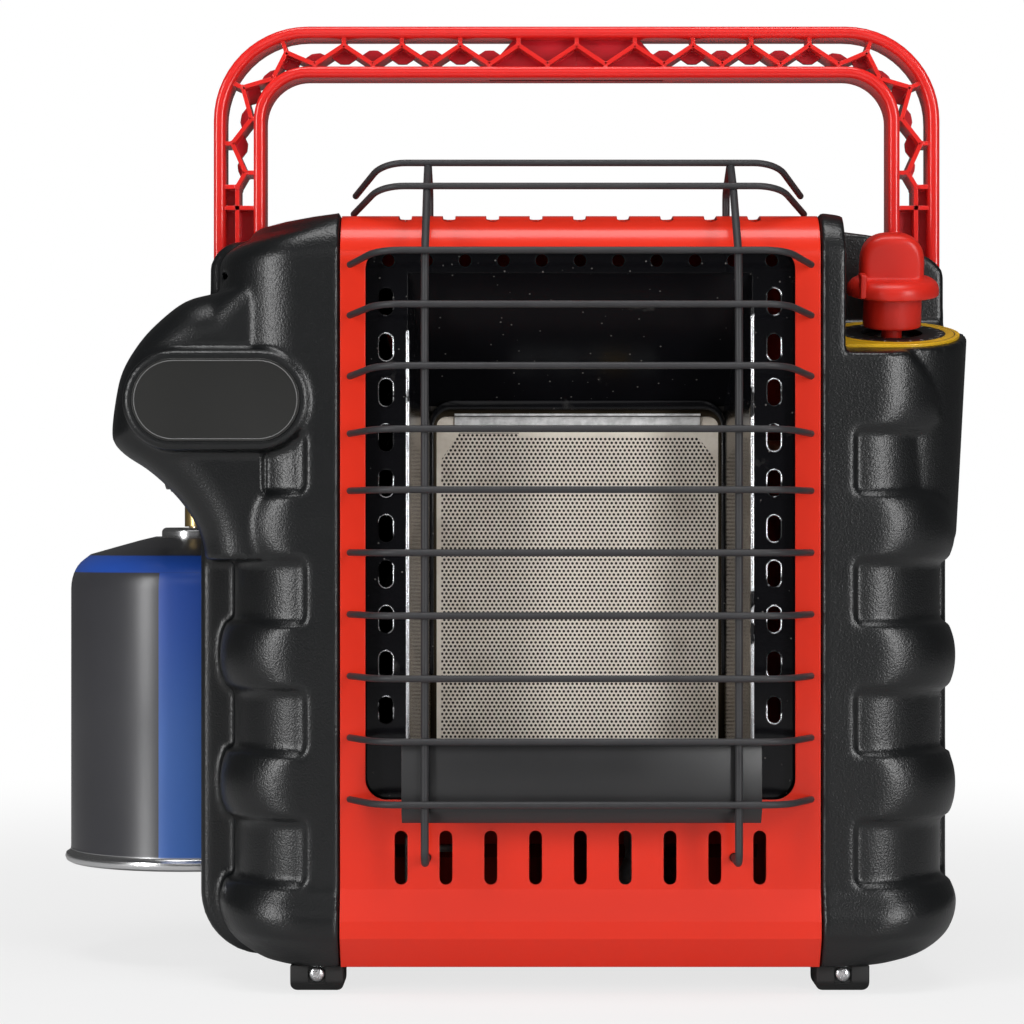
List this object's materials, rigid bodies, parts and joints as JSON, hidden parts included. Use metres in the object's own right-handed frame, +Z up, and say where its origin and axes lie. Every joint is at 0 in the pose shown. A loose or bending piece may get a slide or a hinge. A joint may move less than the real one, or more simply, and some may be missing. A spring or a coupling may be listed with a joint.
{
  "type": "portable propane heater",
  "caption": "Portable radiant gas heater: red steel case, ceramic burner behind a wire guard, folding handle, push-and-turn knob and gas canister on a swivelling regulator.",
  "frame": {"origin": "on the floor, under the middle of the whole object's box", "axes": "+X to the right seen from the front, +Y to the back, +Z up"},
  "size_m": [0.3662, 0.201, 0.381],
  "materials": {
    "red_steel": "gloss powder coat",
    "red_steel_back": "gloss powder coat",
    "zinc_steel": "galvanised",
    "black_plastic": "fine moulded texture",
    "badge": "smooth, blank",
    "red_plastic": "gloss moulded",
    "knob_red": "satin moulded",
    "screw_steel": "zinc plated",
    "dark_screw": "blackened",
    "guard_wire": "matt heat-proof paint",
    "guard_plate": "satin heat-proof paint",
    "black_enamel": "gloss enamel",
    "polished_steel": "polished",
    "tile_ceramic": "fired, unglazed",
    "fibre_gasket": "woven ceramic fibre",
    "copper": "drawn copper tube",
    "brass": "machined",
    "dial": "printed, plain ring of marks",
    "insulator": "glazed",
    "cast_alloy": "die cast",
    "cap_plastic": "moulded",
    "can_paint": "gloss lacquer, blank",
    "tin_steel": "tinplate",
    "switch_body": "moulded",
    "weight_steel": "turned",
    "foot_rubber": "moulded"
  },
  "bodies": {
    "casing": {"front_case": "red_steel", "back_panel": "red_steel_back", "base_plate": "zinc_steel", "left_end_panel": "black_plastic", "right_end_panel": "black_plastic", "badge_plate": "badge", "handle_pivots": "screw_steel", "guard_cross_wires": "guard_wire", "guard_uprights": "guard_wire", "shield_plate": "guard_plate", "reflector_surround": "black_enamel", "reflector_funnel": "black_enamel", "side_reflectors": "polished_steel", "burner_tile": "tile_ceramic", "tile_frame": "zinc_steel", "clip_bar": "zinc_steel", "tile_gasket": "fibre_gasket", "plenum_box": "zinc_steel", "venturi": "zinc_steel", "gas_jet": "brass", "burner_pipe": "copper", "pilot_pipe": "copper", "supply_pipe": "copper", "valve_body": "brass", "valve_nut": "screw_steel", "dial_plate": "dial", "pilot_bracket": "zinc_steel", "pilot_burner": "brass", "thermocouple": "copper", "spark_electrode": "insulator", "heat_shield": "zinc_steel", "swivel_joint": "screw_steel", "tip_switch": "switch_body", "feet": "foot_rubber", "foot_screws": "screw_steel", "back_screws": "screw_steel", "panel_screws": "dark_screw"},
    "bow": {"handle": "red_plastic"},
    "push": {"spindle_washer": "screw_steel"},
    "knob": {"knob": "knob_red"},
    "regulator": {"regulator_body": "cast_alloy", "regulator_cap": "cap_plastic", "gas_inlet": "brass"},
    "gas_can": {"canister": "can_paint", "valve_cup": "tin_steel"},
    "pendulum": {"tip_pendulum": "weight_steel"}
  },
  "joints": [
    {"name": "handle_fold", "type": "hinge", "parent": "casing", "child": "bow", "pos_m": [0.0304, 0.00275, 0.278], "axis": [-1, 0, 0], "range_deg": [0, 90]},
    {"name": "knob_push", "type": "slide", "parent": "casing", "child": "push", "axis": [0, 0.2419, -0.9703], "range_m": [0, 0.004], "stiffness_N_per_m": 800, "springref_m": -0.002},
    {"name": "knob_turn", "type": "hinge", "parent": "push", "child": "knob", "pos_m": [0.1534, -0.03725, 0.254], "axis": [0, -0.2419, 0.9703], "range_deg": [0, 180]},
    {"name": "regulator_swivel", "type": "hinge", "parent": "casing", "child": "regulator", "pos_m": [-0.1276, 0.04475, 0.212], "axis": [1, 0, 0], "range_deg": [0, 90]},
    {"name": "canister_slide", "type": "slide", "parent": "regulator", "child": "gas_can", "axis": [0, 0, -1], "range_m": [0, 0.022]},
    {"name": "tip_swing", "type": "hinge", "parent": "casing", "child": "pendulum", "pos_m": [-0.0296, 0.04775, 0.044], "axis": [1, 0, 0], "range_deg": [-20, 20]}
  ]
}
